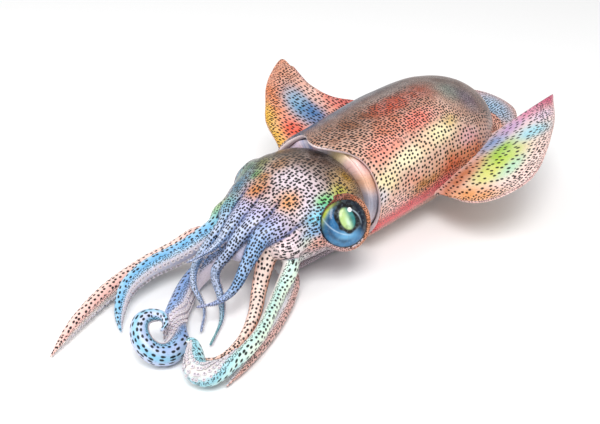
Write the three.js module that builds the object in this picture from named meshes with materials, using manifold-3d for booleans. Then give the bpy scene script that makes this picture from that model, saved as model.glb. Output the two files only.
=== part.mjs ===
// A whole raw squid lying on its belly, millimetres, +Z up.
// The tail points along +X and the arms along -X; the animal's left side is -Y.
// Places are first given from the front rim of the mantle, where x = 0, with the table at z = 0.
// The finished group is then shifted so that its origin is below the middle of the whole animal.
import * as THREE from 'three';
import { mergeVertices } from 'three/addons/utils/BufferGeometryUtils.js';
import Module from 'manifold-3d';

const wasm = await Module();
wasm.setup();

const radians = THREE.MathUtils.degToRad;

// ---- driving dimensions -------------------------------------------------
const GAP = 0.3; // clearance between pieces that touch

const MANTLE_LENGTH = 160;
const MANTLE_WIDTH = 93;
const MANTLE_HEIGHT = 85;
const RIM_RATIO = 0.93; // girth at the rim over the widest girth
const WIDEST = 0.5; // station of the widest part
const TAIL_BLUNTNESS = 2.8;
const TAIL_TIP_Z = 39;
const BELLY_FLAT = 1.6; // how far the round belly is pressed flat
const MANTLE_WALL = 4;
const RECESS_DEPTH = 15;

const NECK_FRONT_X = -8;
const HEAD_BACK_X = -9;
const HEAD_Z = 40.5;
const HEAD_LENGTH = 56;
const HEAD_TURN = radians(3); // the head bends a little towards -Y
const HEAD_DROOP = radians(14);

const EYE_RADIUS = 17.5;
const EYE_DEPTH = 13; // half thickness of the flattened eyeball
const EYE_BULGE = 3.5; // how far the head swells round an eye
const EYE_BULGE_SPREAD = 22;
const EYES = {
  left: {
    centre: new THREE.Vector3(-36, -39, 41),
    facing: new THREE.Vector3(-0.5, -0.75, 0.42).normalize(),
  },
  right: {
    centre: new THREE.Vector3(-34.5, 36, 39.5),
    facing: new THREE.Vector3(-0.3, 0.9, 0.2).normalize(),
  },
};

const CROWN_WIDTH = 28; // half width of the ring on which the limbs sit
const CROWN_HEIGHT = 17;

const FIN_ROOT_THICKNESS = 5;
const FIN_EDGE_THICKNESS = 1.4;
const FIN_END_ROUNDING = 1.2; // how far each end of a fin swells past its last ring

const LIMB_LEAD = 8; // straight run of a limb out of the crown
const LIMB_BACK_DEPTH = 0.48; // thickness on the back over the limb's width
const LIMB_SUCKER_DEPTH = 0.4; // and on the flatter sucker side
const ROOT_SHARE = 0.25; // share of the length over which the root narrows
const TIP_POWER = 0.75;
const CLUB_PLACE = 0.85; // where a tentacle's club is widest, as a share of its length
const CLUB_SPREAD = 0.12;

const BODY_SIDES = 32;
const LIMB_SIDES = 10;
const LIMB_SPACING = 6.5; // distance between the rings of a limb

// ---- small helpers ------------------------------------------------------
const bump = (value, centre, width) => Math.exp(-(((value - centre) / width) ** 2));
const mix = THREE.MathUtils.lerp;
const ease = (t) => THREE.MathUtils.smoothstep(t, 0, 1);

// Reads a smooth curve through [station, value] pairs.
function profile(pairs) {
  return (t) => {
    const last = pairs.length - 1;
    let i = 0;
    while (i < last - 1 && t > pairs[i + 1][0]) i++;
    const [t0, v0] = pairs[i];
    const [t1, v1] = pairs[i + 1];
    return mix(v0, v1, ease((t - t0) / (t1 - t0)));
  };
}

// Joins equal rings of points, closes both ends to a point, and turns the faces outwards.
function skin(rings, startPole, endPole) {
  const sides = rings[0].length;
  const points = [startPole, ...rings.flat(), endPole];
  const last = points.length - 1;
  const at = (ring, side) => 1 + ring * sides + (side % sides);
  const faces = [];
  for (let s = 0; s < sides; s++) {
    faces.push([0, at(0, s + 1), at(0, s)]);
    faces.push([last, at(rings.length - 1, s), at(rings.length - 1, s + 1)]);
  }
  for (let r = 0; r < rings.length - 1; r++) {
    for (let s = 0; s < sides; s++) {
      faces.push([at(r, s), at(r, s + 1), at(r + 1, s + 1)]);
      faces.push([at(r, s), at(r + 1, s + 1), at(r + 1, s)]);
    }
  }
  const volume = faces.reduce((sum, [a, b, c]) => {
    const cross = new THREE.Vector3().crossVectors(points[b], points[c]);
    return sum + points[a].dot(cross);
  }, 0);
  const geometry = new THREE.BufferGeometry().setFromPoints(points);
  geometry.setIndex(faces.flatMap(([a, b, c]) => (volume > 0 ? [a, b, c] : [a, c, b])));
  return geometry;
}

// A ring of points around the body; angle a is 0 on the back and grows towards the right side.
function bodyRing(place) {
  return Array.from({ length: BODY_SIDES }, (_, s) => {
    const a = ((s + 0.5) / BODY_SIDES) * 2 * Math.PI - Math.PI;
    return place(a);
  });
}

function solidOf(geometry) {
  const bare = geometry.clone();
  bare.deleteAttribute('normal');
  bare.deleteAttribute('uv');
  const merged = mergeVertices(bare, 1e-4);
  return new wasm.Manifold(new wasm.Mesh({
    numProp: 3,
    vertProperties: new Float32Array(merged.attributes.position.array),
    triVerts: new Uint32Array(merged.index.array),
  }));
}

function geometryOf(solid) {
  const mesh = solid.getMesh();
  const geometry = new THREE.BufferGeometry();
  geometry.setAttribute('position', new THREE.BufferAttribute(new Float32Array(mesh.vertProperties), 3));
  geometry.setIndex([...mesh.triVerts]);
  return geometry;
}

// ---- mantle -------------------------------------------------------------
// Share of the full girth at station u, 0 at the rim and 1 at the tail tip.
function girth(u) {
  if (u < WIDEST) return mix(RIM_RATIO, 1, Math.sin((u / WIDEST) * (Math.PI / 2)));
  return Math.sqrt(Math.max(0, 1 - ((u - WIDEST) / (1 - WIDEST)) ** TAIL_BLUNTNESS));
}

function mantleCentreZ(u) {
  const resting = (MANTLE_HEIGHT / 2) * girth(Math.min(u, WIDEST)) - BELLY_FLAT;
  return mix(resting, TAIL_TIP_Z, ease((u - WIDEST) / (1 - WIDEST)));
}

// The free edge reaches forward over the nape, then along the right side; the left side is straight.
const RIM_LOBES = [
  { reach: 19, angle: -0.05, spread: 0.42 },
  { reach: 11, angle: 1.0, spread: 0.5 },
  { reach: 6, angle: 1.9, spread: 0.5 },
];

function rimShift(a) {
  return RIM_LOBES.reduce((shift, { reach, angle, spread }) => shift - reach * bump(a, angle, spread), 0);
}

function mantlePoint(u, a, inset = 0) {
  const g = girth(u);
  const y = ((MANTLE_WIDTH / 2) * g - inset) * Math.sin(a);
  const z = mantleCentreZ(u) + ((MANTLE_HEIGHT / 2) * g - inset) * Math.cos(a);
  const x = MANTLE_LENGTH * u + rimShift(a) * (1 - u) ** 4;
  return new THREE.Vector3(x, y, Math.max(z, inset));
}

function mantleGeometry() {
  const stations = 20;
  const rings = [];
  for (let i = 1; i <= stations; i++) {
    const u = Math.cos((i / stations) * (Math.PI / 2));
    rings.push(bodyRing((a) => mantlePoint(u, a)));
  }
  const inner = (x, inset, shift) => bodyRing((a) => mantlePoint(0, a, inset).setX(x + rimShift(a) * shift));
  rings.push(inner(0.6, MANTLE_WALL, 1));
  rings.push(inner(3, MANTLE_WALL + 0.1, 0));
  rings.push(inner(RECESS_DEPTH, MANTLE_WALL + 4, 0));
  const tail = new THREE.Vector3(MANTLE_LENGTH, 0, TAIL_TIP_Z);
  const floor = new THREE.Vector3(RECESS_DEPTH, 0, mantleCentreZ(0));
  return skin(rings, tail, floor);
}

// Moves a point that would be inside the mantle straight out from its middle, to just clear of it.
// The facets are longer round the tail, so more is left there.
const SIDE_CLEARANCE = 0.9;
const TAIL_CLEARANCE = 2.1;

function clearOfMantle(point) {
  const clearance = mix(SIDE_CLEARANCE, TAIL_CLEARANCE, ease((point.x / MANTLE_LENGTH - 0.75) / 0.2));
  const middle = new THREE.Vector3(WIDEST * MANTLE_LENGTH, 0, mantleCentreZ(WIDEST));
  const halfWidth = MANTLE_WIDTH / 2 + clearance;
  const halfHeight = MANTLE_HEIGHT / 2 + clearance;
  const moved = point.clone();
  for (let i = 0; i < 12; i++) {
    const u = moved.x / MANTLE_LENGTH;
    const centreZ = mantleCentreZ(THREE.MathUtils.clamp(u, 0, 1));
    const across = Math.hypot(moved.y / halfWidth, (moved.z - centreZ) / halfHeight);
    if (u < WIDEST) {
      const share = across / girth(Math.max(u, 0));
      if (share >= 1) return moved;
      return new THREE.Vector3(moved.x, moved.y / share, centreZ + (moved.z - centreZ) / share);
    }
    const along = (moved.x - middle.x) / (MANTLE_LENGTH - middle.x + clearance);
    const share = Math.sqrt(along ** TAIL_BLUNTNESS + across ** 2);
    if (share >= 0.9995) return moved;
    moved.sub(middle).divideScalar(share).add(middle);
  }
  return moved;
}

// ---- fins ---------------------------------------------------------------
// A fin is a blade between its root on the mantle's side and its free edge.
// Each edge entry is [root station, x, y, z of the free edge]; stations past 1 go round the tail.
const FIN_LEFT = {
  rootAngles: [radians(-110), radians(-84)],
  edge: [
    [0.36, 57, -50, 27],
    [0.40, 50, -74, 34],
    [0.46, 56, -95, 43],
    [0.54, 78, -102, 52],
    [0.62, 108, -95, 59],
    [0.72, 148, -76, 63],
    [0.82, 178, -57, 65],
  ],
};

const FIN_RIGHT = {
  rootAngles: [radians(86), radians(80)],
  pastTail: radians(-97), // the root runs on round the tail, a little lower on the left side
  edge: [
    [0.04, 3, 50, 46],
    [0.10, 9, 68, 57],
    [0.17, 20, 81, 66],
    [0.26, 38, 95, 76],
    [0.36, 61, 102, 82],
    [0.43, 61, 86, 73],
    [0.49, 66, 71, 65],
    [0.56, 76, 61, 59],
    [0.67, 100, 53, 50],
    [0.84, 134, 40, 45],
    [0.93, 160, 25, 48],
    [1.00, 185, 3, 49],
    [1.06, 195, -18, 39],
    [1.12, 182, -31, 27],
    [1.18, 166, -43, 24],
  ],
};

function finGeometry(fin) {
  const stations = 22;
  const across = 5;
  const first = fin.edge[0][0];
  const last = fin.edge[fin.edge.length - 1][0];
  const edgeCurve = new THREE.CatmullRomCurve3(fin.edge.map(([, x, y, z]) => new THREE.Vector3(x, y, z)));
  const stationOf = profile(fin.edge.map(([v], i) => [i / (fin.edge.length - 1), v]));
  const rootAt = (v) => {
    const turn = mix(...fin.rootAngles, (v - first) / (last - first));
    const root = mantlePoint(Math.min(v, 2 - v, 0.995), v > 1 ? fin.pastTail : turn);
    return clearOfMantle(root);
  };
  const rings = [];
  for (let i = 0; i <= stations; i++) {
    const t = i / stations;
    const root = rootAt(stationOf(t));
    const edge = edgeCurve.getPoint(t);
    const ahead = edgeCurve.getTangent(t);
    const out = edge.clone().sub(root);
    const normal = new THREE.Vector3().crossVectors(out, ahead).normalize();
    if (normal.z < 0) normal.negate();
    const ends = Math.sin(Math.PI * mix(0.04, 0.96, t)) ** 0.5;
    const layer = (s, side) => {
      const half = (mix(FIN_ROOT_THICKNESS, FIN_EDGE_THICKNESS, Math.sqrt(s)) / 2) * ends;
      return clearOfMantle(root.clone().addScaledVector(out, s).addScaledVector(normal, side * half));
    };
    const steps = Array.from({ length: across + 1 }, (_, k) => k / across);
    rings.push([...steps.map((s) => layer(s, 1)), ...steps.reverse().map((s) => layer(s, -1))]);
  }
  const endPole = (ring, t, push) => ring[0].clone().add(ring[across]).multiplyScalar(0.5)
    .addScaledVector(edgeCurve.getTangent(t), push);
  const front = endPole(rings[0], 0, -FIN_END_ROUNDING);
  const back = endPole(rings[rings.length - 1], 1, FIN_END_ROUNDING);
  return skin(rings, front, back);
}

// ---- neck and funnel ----------------------------------------------------
function tubeRings(stations) {
  return stations.map(({ x, y, z, width, height }) => bodyRing(
    (a) => new THREE.Vector3(x, y + width * Math.sin(a), z + height * Math.cos(a))));
}

function neckGeometry() {
  const inner = MANTLE_WALL + 0.8;
  const z = mantleCentreZ(0);
  const width = (MANTLE_WIDTH / 2) * RIM_RATIO - inner;
  const height = (MANTLE_HEIGHT / 2) * RIM_RATIO - inner;
  const rings = tubeRings([
    { x: RECESS_DEPTH - 2, y: 0, z, width: width - 6, height: height - 6 },
    { x: 4, y: 0, z, width: width - 1, height: height - 1.6 },
    { x: -2, y: 0, z: z + 1, width, height: height - 1 },
    { x: -5, y: 0, z: z + 2, width: width - 0.5, height: height - 3 },
    { x: NECK_FRONT_X, y: 0, z: z + 4, width: width - 4, height: height - 7 },
  ]);
  const back = new THREE.Vector3(RECESS_DEPTH - 2, 0, z);
  const front = new THREE.Vector3(NECK_FRONT_X, 0, z + 4);
  return skin(rings, back, front);
}

// The funnel is a flattened tube under the head, open at its narrow front end.
function funnelGeometry() {
  const rings = tubeRings([
    { x: -10, y: -3, z: 4.4, width: 17, height: 4.1 },
    { x: -20, y: -4, z: 4.5, width: 16, height: 4.3 },
    { x: -34, y: -6, z: 4.5, width: 12.5, height: 4.2 },
    { x: -46, y: -8, z: 4.2, width: 9.5, height: 3.9 },
    { x: -50, y: -8.5, z: 4.2, width: 8.5, height: 3.5 },
    { x: -48, y: -8.5, z: 4.2, width: 6.5, height: 2.2 },
    { x: -38, y: -7, z: 4.2, width: 5, height: 1.5 },
  ]);
  return skin(rings, new THREE.Vector3(-10, -3, 4.4), new THREE.Vector3(-38, -7, 4.2));
}

// ---- head and eyes ------------------------------------------------------
const headWidth = profile([[0, 36], [0.12, 41.5], [0.45, 44.5], [0.8, 39], [1, 36]]);
const headHeight = profile([[0, 26], [0.12, 29], [0.42, 29.5], [0.8, 26.5], [1, 24]]);

// The head's middle line turns and droops evenly along its length.
function headFrame(v) {
  const steps = 12;
  const centre = new THREE.Vector3(HEAD_BACK_X - GAP, 0, HEAD_Z);
  const forward = new THREE.Vector3();
  for (let i = 0; i <= steps; i++) {
    const turn = (HEAD_TURN * v * i) / steps;
    const droop = (HEAD_DROOP * v * i) / steps;
    forward.set(-Math.cos(turn) * Math.cos(droop), -Math.sin(turn) * Math.cos(droop), -Math.sin(droop));
    if (i < steps) centre.addScaledVector(forward, (HEAD_LENGTH * v) / steps);
  }
  const right = new THREE.Vector3().crossVectors(forward, new THREE.Vector3(0, 0, 1)).normalize();
  const up = new THREE.Vector3().crossVectors(right, forward).normalize();
  return { centre, forward, right, up };
}

function headPoint(v, a, scale = 1) {
  const { centre, right, up } = headFrame(v);
  return centre.clone()
    .addScaledVector(right, headWidth(v) * scale * Math.sin(a))
    .addScaledVector(up, headHeight(v) * scale * Math.cos(a));
}

function eyeGeometry({ centre, facing }, radius, depth) {
  const ball = new THREE.SphereGeometry(1, 20, 12);
  ball.scale(radius, radius, depth);
  ball.applyQuaternion(new THREE.Quaternion().setFromUnitVectors(new THREE.Vector3(0, 0, 1), facing));
  ball.translate(centre.x, centre.y, centre.z);
  return ball;
}

function headGeometry() {
  const stations = 14;
  const both = [EYES.left, EYES.right];
  const swell = (point) => {
    for (const { centre, facing } of both) {
      point.addScaledVector(facing, EYE_BULGE * bump(point.distanceTo(centre), 0, EYE_BULGE_SPREAD));
    }
    return point;
  };
  const rings = [];
  for (let i = 0; i <= stations; i++) {
    rings.push(bodyRing((a) => swell(headPoint(i / stations, a))));
  }
  const whole = solidOf(skin(rings, headFrame(0).centre, headFrame(1).centre));
  const sockets = both.map((eye) => solidOf(eyeGeometry(eye, EYE_RADIUS + GAP, EYE_DEPTH + GAP)));
  return geometryOf(whole.subtract(sockets[0]).subtract(sockets[1]));
}

// ---- limbs --------------------------------------------------------------
// The limbs side by side around the crown, from low on the right over the back to low on the left.
// Each route leads from the crown to the tip; a slender limb tapers evenly, a blunt one late.
const BLUNT = 4;
const SLENDER = 1.3;
const LIMBS = [
  {
    name: 'arm_right_4', root: 14, width: 14, taper: BLUNT, color: 0xd9a79a,
    route: [
      [-86, 38, 21], [-100, 45, 14], [-117, 51, 9], [-150, 48, 7], [-185, 36, 6], [-210, 25, 2],
    ],
  },
  {
    name: 'arm_right_3', root: 15, width: 14.5, taper: BLUNT, color: 0x7fb0cf,
    route: [
      [-83, 20, 35], [-97, 25, 27], [-109, 31, 21], [-130, 35, 18], [-147, 34, 13], [-163, 22, 6],
      [-168, 14, 2],
    ],
  },
  {
    name: 'arm_right_2', root: 11.5, width: 9, taper: SLENDER, color: 0x8a9cc4,
    route: [
      [-88, 9, 43], [-102, 11, 32], [-113, 10, 23], [-122, 1, 17], [-124, -9, 8], [-137, -20, 2],
    ],
  },
  {
    name: 'arm_right_1', root: 11.5, width: 9, taper: SLENDER, color: 0x7f93bf,
    route: [
      [-88, 2, 46], [-103, 1, 38], [-114, 4, 34], [-122, 8, 31],
    ],
  },
  {
    name: 'arm_left_1', root: 11.5, width: 9, taper: SLENDER, color: 0x7f93bf,
    route: [
      [-86, -7.5, 44.5], [-97, -4, 33], [-107, -1, 21], [-111, -9, 11], [-121, -21, 5],
      [-142, -33, 2],
    ],
  },
  {
    name: 'arm_left_2', root: 13, width: 11.5, taper: SLENDER, color: 0x6f8cc0,
    route: [
      [-82, -17.8, 43.5], [-98, -19.5, 31], [-111, -21, 20], [-122, -19, 16], [-133, -11, 14],
    ],
  },
  {
    name: 'arm_left_3', root: 12.3, width: 11, taper: 2.2, color: 0xe0a78c,
    route: [
      [-77, -19.5, 32], [-83, -18.5, 20], [-90, -21, 9], [-104, -31.5, 5], [-122, -42, 4.5],
      [-137, -46, 4], [-148, -44, 3], [-153, -38, 2.5],
    ],
  },
  {
    name: 'tentacle_left', root: 9.8, width: 9, taper: 14, color: 0x9fd6cc, club: 15.5,
    route: [
      [-73, -31.5, 26], [-80, -33.5, 19], [-89, -36.5, 14.5], [-106, -46, 14], [-123, -55, 13.5],
      [-142, -61.5, 14], [-155, -60.5, 11], [-164, -57, 9], [-167, -51, 10], [-161.5, -43, 13],
      [-157, -37.5, 15], [-157, -33, 17], [-160, -33, 17],
    ],
  },
  {
    name: 'arm_left_4', root: 12.5, width: 11.5, taper: BLUNT, color: 0xcfb4b6,
    route: [
      [-69, -28, 12], [-77, -33.5, 6.5], [-94, -42.5, 5], [-112, -50.5, 4.5], [-133, -58, 4.5],
      [-148, -62.5, 3.5], [-160, -65, 2],
    ],
  },
];

// The coiled right tentacle starts inside the ring of arms and ends in one rising turn.
const COIL = {
  x: -165,
  y: -15.4,
  z: 7.5,
  startRadius: 11.9,
  endRadius: 3.4,
  tightening: 1.7,
  rise: 15,
  turn: radians(475),
};
const COIL_STEPS = 16;
const INNER_ARC = 33; // where the right tentacle leaves the crown, round from the back
const INNER_SHARE = 0.36; // and how far out from the mouth
const RIGHT_TENTACLE = {
  name: 'tentacle_right', root: 9, width: 14.5, taper: 6, color: 0x9db4d6,
  route: [[-80, 9, 27], [-92, 13, 17], [-104, 17, 10], [-117, 13, 7.5], [-131, 4, 7.5], [-144, -6, 7.5]],
};

function coilPoint(share) {
  const turn = -COIL.turn * share;
  const radius = mix(COIL.startRadius, COIL.endRadius, share ** COIL.tightening);
  const z = COIL.z + COIL.rise * (ease((share - 0.21) / 0.35) - 0.3 * ease((share - 0.75) / 0.25));
  return new THREE.Vector3(COIL.x + radius * Math.cos(turn), COIL.y + radius * Math.sin(turn), z);
}

// Angle on the crown's ellipse that lies an arc length away from the back.
function crownAngle(arc) {
  const step = Math.sign(arc) * 0.002;
  let angle = 0;
  let travelled = 0;
  while (travelled < Math.abs(arc)) {
    travelled += Math.abs(step) * Math.hypot(CROWN_WIDTH * Math.cos(angle), CROWN_HEIGHT * Math.sin(angle));
    angle += step;
  }
  return angle;
}

function limbWidth(limb, s) {
  const plain = mix(limb.root, limb.width, ease(s / ROOT_SHARE));
  const club = limb.club ? (limb.club - limb.width) * bump(s, CLUB_PLACE, CLUB_SPREAD) : 0;
  return (plain + club) * Math.max(0, 1 - s ** limb.taper) ** TIP_POWER;
}

function limbGeometry(limb, rootOffset, outward, extra = []) {
  const crown = headFrame(1);
  const root = crown.centre.clone().add(rootOffset).addScaledVector(crown.forward, GAP);
  const lead = root.clone().addScaledVector(crown.forward, LIMB_LEAD);
  const points = [root, lead, ...limb.route.map((p) => new THREE.Vector3(...p)), ...extra];
  const curve = new THREE.CatmullRomCurve3(points, false, 'centripetal');
  const count = Math.ceil(curve.getLength() / LIMB_SPACING);
  const back = outward.clone();
  const rings = [];
  for (let i = 0; i < count; i++) {
    const s = i / count;
    const centre = curve.getPointAt(s);
    const ahead = i === 0 ? crown.forward : curve.getTangentAt(s);
    back.addScaledVector(ahead, -back.dot(ahead)).normalize();
    const side = new THREE.Vector3().crossVectors(ahead, back);
    const width = limbWidth(limb, s);
    rings.push(Array.from({ length: LIMB_SIDES }, (_, k) => {
      const a = ((k + 0.5) / LIMB_SIDES) * 2 * Math.PI;
      const depth = width * (Math.cos(a) > 0 ? LIMB_BACK_DEPTH : LIMB_SUCKER_DEPTH);
      const point = centre.clone()
        .addScaledVector(side, (width / 2) * Math.sin(a))
        .addScaledVector(back, depth * Math.cos(a));
      return point.setZ(Math.max(point.z, 0));
    }));
  }
  return skin(rings, root, curve.getPointAt(1));
}

function crownPlace(arc) {
  const crown = headFrame(1);
  const angle = crownAngle(arc);
  const offset = crown.right.clone().multiplyScalar(CROWN_WIDTH * Math.sin(angle))
    .addScaledVector(crown.up, CROWN_HEIGHT * Math.cos(angle));
  const outward = crown.right.clone().multiplyScalar(Math.sin(angle) / CROWN_WIDTH)
    .addScaledVector(crown.up, Math.cos(angle) / CROWN_HEIGHT).normalize();
  return { offset, outward };
}

// ---- assembly -----------------------------------------------------------
function piece(name, geometry, color, roughness) {
  const material = new THREE.MeshStandardMaterial({ color, roughness, metalness: 0 });
  const mesh = new THREE.Mesh(geometry, material);
  mesh.name = name;
  return mesh;
}

const squid = new THREE.Group();
squid.add(piece('mantle', mantleGeometry(), 0xb5705a, 0.35));
squid.add(piece('fin_left', finGeometry(FIN_LEFT), 0xc9a07a, 0.35));
squid.add(piece('fin_right', finGeometry(FIN_RIGHT), 0xcf8e74, 0.35));
squid.add(piece('neck', neckGeometry(), 0xd8cfd6, 0.3));
squid.add(piece('funnel', funnelGeometry(), 0xcfc3c8, 0.3));
squid.add(piece('head', headGeometry(), 0xc9b8bc, 0.35));
squid.add(piece('eye_left', eyeGeometry(EYES.left, EYE_RADIUS, EYE_DEPTH), 0x24506e, 0.08));
squid.add(piece('eye_right', eyeGeometry(EYES.right, EYE_RADIUS, EYE_DEPTH), 0x24506e, 0.08));

// Places along the crown, from the right, set so that the two first arms meet on the back.
const arcs = [0];
for (let i = 1; i < LIMBS.length; i++) {
  arcs.push(arcs[i - 1] - (LIMBS[i - 1].root + LIMBS[i].root) / 2 - 2 * GAP);
}
const backArc = (arcs[3] + arcs[4]) / 2;
LIMBS.forEach((limb, i) => {
  const { offset, outward } = crownPlace(arcs[i] - backArc);
  squid.add(piece(limb.name, limbGeometry(limb, offset, outward), limb.color, 0.35));
});

const innerPlace = crownPlace(INNER_ARC);
const innerOffset = innerPlace.offset.multiplyScalar(INNER_SHARE);
const turns = Array.from({ length: COIL_STEPS }, (_, i) => coilPoint((i + 0.5) / COIL_STEPS));
squid.add(piece(RIGHT_TENTACLE.name,
  limbGeometry(RIGHT_TENTACLE, innerOffset, innerPlace.outward, turns), RIGHT_TENTACLE.color, 0.35));

// The origin goes to the middle of the whole animal's outline, on the table.
const extent = new THREE.Box3().setFromObject(squid);
const middle = extent.getCenter(new THREE.Vector3());
squid.position.set(-middle.x, -middle.y, -extent.min.z);

export default squid;
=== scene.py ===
import math

import bmesh
import bpy
import numpy as np
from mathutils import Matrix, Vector, noise


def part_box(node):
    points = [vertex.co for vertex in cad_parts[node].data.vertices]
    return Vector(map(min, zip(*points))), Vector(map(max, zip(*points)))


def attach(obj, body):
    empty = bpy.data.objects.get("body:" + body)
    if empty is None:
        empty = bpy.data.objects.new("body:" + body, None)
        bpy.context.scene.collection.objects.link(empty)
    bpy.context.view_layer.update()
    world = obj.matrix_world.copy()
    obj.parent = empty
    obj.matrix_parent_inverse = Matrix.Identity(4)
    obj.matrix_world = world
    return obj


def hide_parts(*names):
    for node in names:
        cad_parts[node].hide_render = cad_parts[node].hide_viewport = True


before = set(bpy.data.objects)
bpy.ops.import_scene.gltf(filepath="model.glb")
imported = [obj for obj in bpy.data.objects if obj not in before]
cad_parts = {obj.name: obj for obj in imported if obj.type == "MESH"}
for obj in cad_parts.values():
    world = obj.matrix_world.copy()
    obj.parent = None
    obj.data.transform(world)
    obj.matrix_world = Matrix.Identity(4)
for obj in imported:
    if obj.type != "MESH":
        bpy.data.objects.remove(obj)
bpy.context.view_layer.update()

# All shaping is done in millimetres, in the frame's own axes: +X to the tail, +Y to the animal's right.
MM = 0.001
MANTLE_LENGTH = 160
MIDDLE_HEIGHT = 41  # of the mantle's middle line over the table
SKIN_VOXEL = 0.9
SKIN_RADIUS = 30  # turns an angle round the head or the neck into millimetres of skin
DEPTH_OF_COLOUR = 1.2  # washes are laid a little deeper than written, as wet skin is


# ---- small helpers -------------------------------------------------------
def unit(vectors):
    return vectors / np.maximum(np.linalg.norm(vectors, axis=-1, keepdims=True), 1e-9)


def ease(values, low, high):
    t = np.clip((values - low) / (high - low), 0, 1)
    return t * t * (3 - 2 * t)


def bump(values, centre, width):
    return np.exp(-(((values - centre) / width) ** 2))


def linear(code):
    """A colour written as #rrggbb, as the linear numbers that light adds up in."""
    parts = [int(code[i:i + 2], 16) / 255 for i in (1, 3, 5)]
    return np.array([p / 12.92 if p < 0.04045 else ((p + 0.055) / 1.055) ** 2.4 for p in parts])


def ripple(points, size, seed=0.0):
    """Soft unevenness between -1 and 1, whose lumps are about size millimetres across."""
    return np.array([noise.noise(Vector(p / size) + Vector((seed, 0, 0))) for p in points])


def read_rows(values, places):
    """Values between rows, read along a smooth curve through the rows."""
    last = len(values) - 1
    i = np.clip(np.floor(places).astype(int), 0, last - 1)
    t = (places - i).reshape((-1,) + (1,) * (values.ndim - 1))
    before, here = values[np.maximum(i - 1, 0)], values[i]
    after, beyond = values[i + 1], values[np.minimum(i + 2, last)]
    return 0.5 * (2 * here + (after - before) * t + (2 * before - 5 * here + 4 * after - beyond) * t ** 2
                  + (3 * here - before - 3 * after + beyond) * t ** 3)


def read_round(values, count):
    """The same around closed rings of shape (rows, sides, ...), where count is the new number of sides."""
    sides = values.shape[1]
    turned = np.moveaxis(values, 1, 0)
    padded = np.concatenate([turned[-2:], turned, turned[:3]])
    return np.moveaxis(read_rows(padded, 2 + np.arange(count) * sides / count), 0, 1)


def round_steps(count):
    """Angles that go once round, in equal steps."""
    return np.arange(count) / count * 2 * math.pi


def row_dots(first, second):
    return np.einsum("pk,pk->p", first, second)


def node_net(name):
    """The points of a CAD node, doubles joined, and its faces as the numbers of their corner points."""
    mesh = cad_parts[name].data
    numbers, index = {}, []
    for vertex in mesh.vertices:
        place = tuple(np.round(np.array(vertex.co) / MM, 3))
        index.append(numbers.setdefault(place, len(numbers)))
    return np.array(list(numbers)), [tuple(index[i] for i in face.vertices) for face in mesh.polygons]


def node_rings(name, start):
    """A lofted CAD node as its end point nearest to start, its rings in order, and its other end point."""
    points, faces = node_net(name)
    near = [set() for _ in points]
    for corners in faces:
        for corner in corners:
            near[corner] |= set(corners) - {corner}
    ends = sorted(range(len(points)), key=lambda i: -len(near[i]))[:2]
    ends.sort(key=lambda i: np.linalg.norm(points[i] - start))
    seen, layer, rings = {ends[0]}, near[ends[0]], []
    while ends[1] not in layer:
        first = min(layer)
        ring = [first]
        while len(ring) < len(layer):
            ring.append(min((near[ring[-1]] & layer) - set(ring)))
        placed = points[ring]
        if rings:
            turns = [np.roll(way, k, axis=0) for way in (placed, placed[::-1]) for k in range(len(ring))]
            shift = placed.mean(0) - rings[-1].mean(0)
            placed = min(turns, key=lambda turn: np.sum((turn - shift - rings[-1]) ** 2))
        rings.append(placed)
        seen |= layer
        layer = set().union(*(near[i] for i in layer)) - seen
    return points[ends[0]], np.array(rings), points[ends[1]]


def grid_faces(rows, sides):
    """Faces of an open tube whose rings of points follow each other."""
    faces = []
    for r in range(rows - 1):
        for s in range(sides):
            a, b = r * sides + s, r * sides + (s + 1) % sides
            faces.append((a, b, b + sides, a + sides))
    return faces


def tube_faces(rows, sides):
    """Faces of the same tube with both ends closed."""
    ends = [tuple(range(sides))[::-1], tuple(range((rows - 1) * sides, rows * sides))]
    return grid_faces(rows, sides) + ends


def make_piece(name, points, faces, marks, material, nodes=(), facing_out=True):
    """Makes a smooth mesh piece from millimetre points, and hangs it on the frame.

    The marks are each point's colour, its place on the skin and, on spotted skin, the grain of its spots.
    """
    mesh = bpy.data.meshes.new(name)
    mesh.from_pydata((np.asarray(points) * MM).tolist(), [], faces)
    mesh.update()
    piece = bpy.data.objects.new(name, mesh)
    bpy.context.collection.objects.link(piece)
    if facing_out:
        turn_faces_out(mesh)
    colour, *others = marks
    for mark, values in zip(("wash", "flow", "grain"), (with_alpha(colour), *others)):
        add_mark(mesh, mark, values)
    mesh.shade_smooth()
    mesh.materials.append(material)
    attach(piece, "root")
    if nodes:
        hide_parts(*nodes)


def turn_faces_out(mesh):
    work = bmesh.new()
    work.from_mesh(mesh)
    bmesh.ops.recalc_face_normals(work, faces=work.faces)
    work.to_mesh(mesh)
    work.free()


def add_mark(mesh, mark, values):
    values = np.asarray(values, np.float32)
    kinds = {1: ("FLOAT", "value"), 3: ("FLOAT_VECTOR", "vector"), 4: ("FLOAT_COLOR", "color")}
    kind, field = kinds[1 if values.ndim == 1 else values.shape[1]]
    mesh.attributes.new(mark, kind, "POINT").data.foreach_set(field, values.ravel())


def plain(code, count):
    """One colour for each of count points."""
    return np.tile(linear(code), (count, 1))


def lay(colour, over, share):
    """Lays a colour over those of some points, over each by its own share."""
    over = linear(over) if isinstance(over, str) else over
    colour += (over - colour) * share[:, None]


def washes(ground, patches, across, along):
    """A ground colour with soft oval patches, for points at these places across and along the skin.

    Each patch is its place across and along, its half width, half length, colour and strength.
    """
    colour = plain(ground, len(across))
    for centre, reach, half_width, half_length, tint, strength in patches:
        apart = ((across - centre) / half_width) ** 2 + ((along - reach) / half_length) ** 2
        lay(colour, tint, np.clip(strength * np.exp(-apart ** 1.4), 0, 1))
    return colour


def with_alpha(colour):
    return np.concatenate([np.clip(colour, 0, 1) ** DEPTH_OF_COLOUR, np.ones((len(colour), 1))], 1)


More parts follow.
